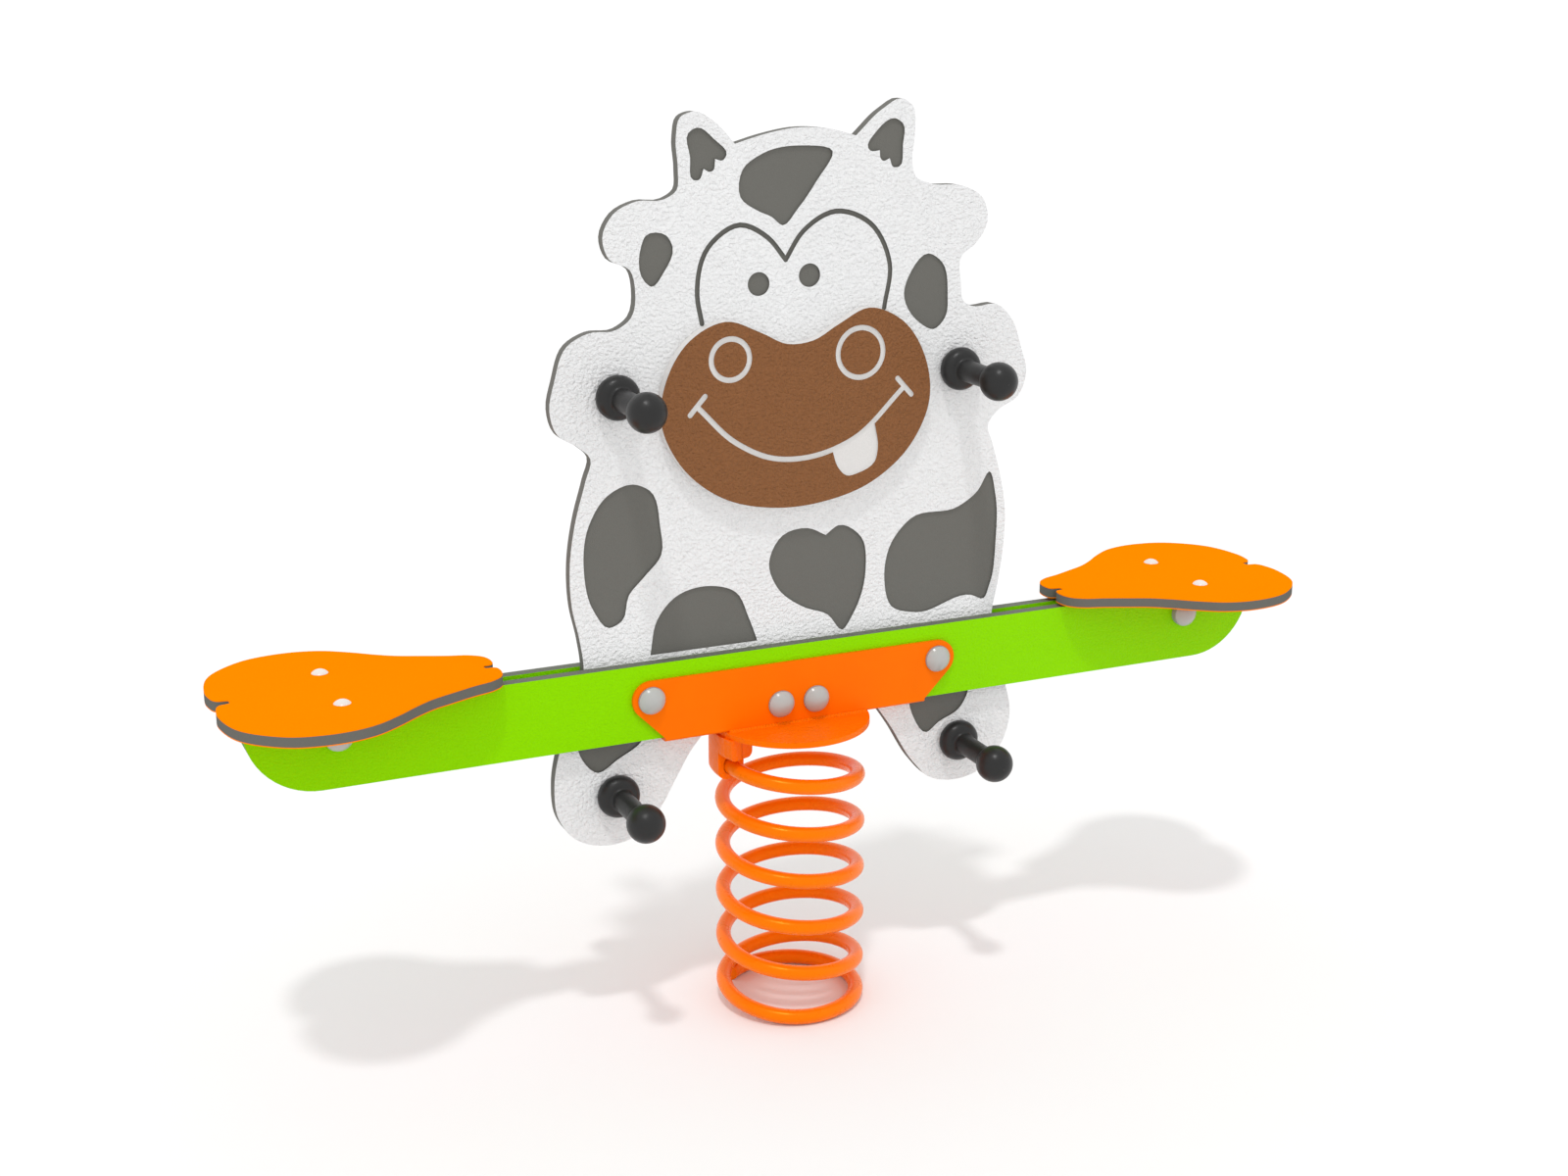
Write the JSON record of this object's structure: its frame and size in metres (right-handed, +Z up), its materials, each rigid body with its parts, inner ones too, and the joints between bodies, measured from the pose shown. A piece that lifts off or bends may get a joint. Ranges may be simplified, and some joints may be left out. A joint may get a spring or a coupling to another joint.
{
  "type": "spring seesaw",
  "caption": "Spring seesaw with paired beams, a shaped seat board at each end, an upright cow panel, hand grips and footrests on a coil spring.",
  "frame": {"origin": "on the ground at the axis of the spring, under the middle of the object", "axes": "+X along the beams to the right-hand seat, +Y to the rear, +Z up; the cow's front face looks to -Y"},
  "size_m": [1.4774, 0.3098, 1.193],
  "materials": {
    "spring_steel": "powder coat, semi-gloss",
    "head_steel": "powder coat, satin",
    "fastener": "zinc plated",
    "beam_board": "fine orange-peel texture",
    "panel_board": "fine orange-peel texture, grey core",
    "muzzle_board": "fine orange-peel texture, white core",
    "seat_board": "fine orange-peel texture, grey core",
    "peg_plastic": "moulded, satin",
    "cap_foot": "moulded, satin",
    "cap_dome": "moulded, satin",
    "seat_screw": "smooth, satin"
  },
  "bodies": {
    "spring_base": {"spring": "spring_steel"},
    "rocker": {"head_disc": "head_steel", "tall_clamp_hood": "head_steel", "tall_clamp_jaw": "head_steel", "short_clamp_hood": "head_steel", "short_clamp_jaw": "head_steel", "clamp_bolts": "fastener", "clamp_screws": "fastener", "rocker_bracket": "head_steel", "weld_beads": "head_steel", "beam_front": "beam_board", "beam_rear": "beam_board", "cow_panel": "panel_board", "muzzle_front": "muzzle_board", "muzzle_rear": "muzzle_board", "muzzle_studs": "fastener", "grip_front_left": "peg_plastic", "grip_front_right": "peg_plastic", "grip_rear_left": "peg_plastic", "grip_rear_right": "peg_plastic", "grip_rods": "fastener", "footrest_front_left": "peg_plastic", "footrest_front_right": "peg_plastic", "footrest_rear_left": "peg_plastic", "footrest_rear_right": "peg_plastic", "footrest_rods": "fastener", "seat_left": "seat_board", "seat_right": "seat_board", "seat_bracket_left": "head_steel", "seat_bracket_right": "head_steel", "seat_screws": "seat_screw", "seat_nuts": "fastener", "seat_bolts": "fastener", "seat_bolt_nuts": "fastener", "seat_cap_feet": "cap_foot", "seat_cap_domes": "cap_dome", "bracket_bolts": "fastener", "bracket_nuts": "fastener", "cap_feet_front": "cap_foot", "cap_feet_rear": "cap_foot", "cap_domes_front": "cap_dome", "cap_domes_rear": "cap_dome"}
  },
  "joints": [
    {"name": "rock", "type": "hinge", "parent": "spring_base", "child": "rocker", "pos_m": [0, 0, 0.2], "axis": [0, 1, 0], "range_deg": [-20, 20], "stiffness_Nm_per_rad": 440, "deforming": ["spring"]}
  ]
}
